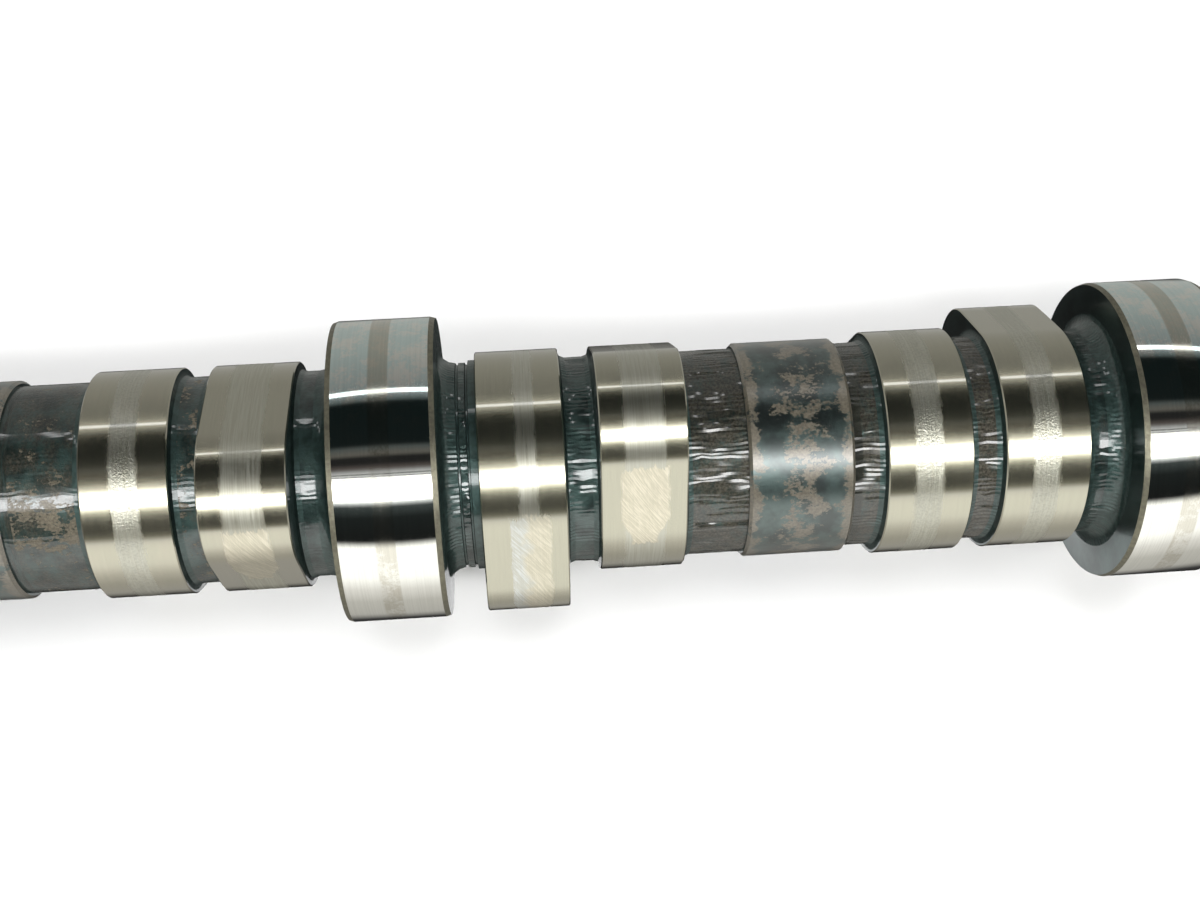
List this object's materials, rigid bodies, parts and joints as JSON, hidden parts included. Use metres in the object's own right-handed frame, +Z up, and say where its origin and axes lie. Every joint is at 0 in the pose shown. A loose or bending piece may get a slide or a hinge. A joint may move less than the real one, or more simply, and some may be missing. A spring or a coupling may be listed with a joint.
{
  "type": "camshaft",
  "caption": "Engine camshaft with ground bearing journals, intake and exhaust lobes, plain collars between them and a keyed gear seat at the front end.",
  "frame": {"origin": "centre of the front journal, on the shaft's line", "axes": "+X along the shaft towards the front gear seat; +Z up with the shaft lying on its journals; +Y across"},
  "size_m": [0.5832, 0.0534, 0.0534],
  "materials": {
    "steel": "ground and polished lobes and journals, heat-blued and varnished raw shaft between them"
  },
  "bodies": {
    "root": {"camshaft": "steel"}
  },
  "joints": []
}
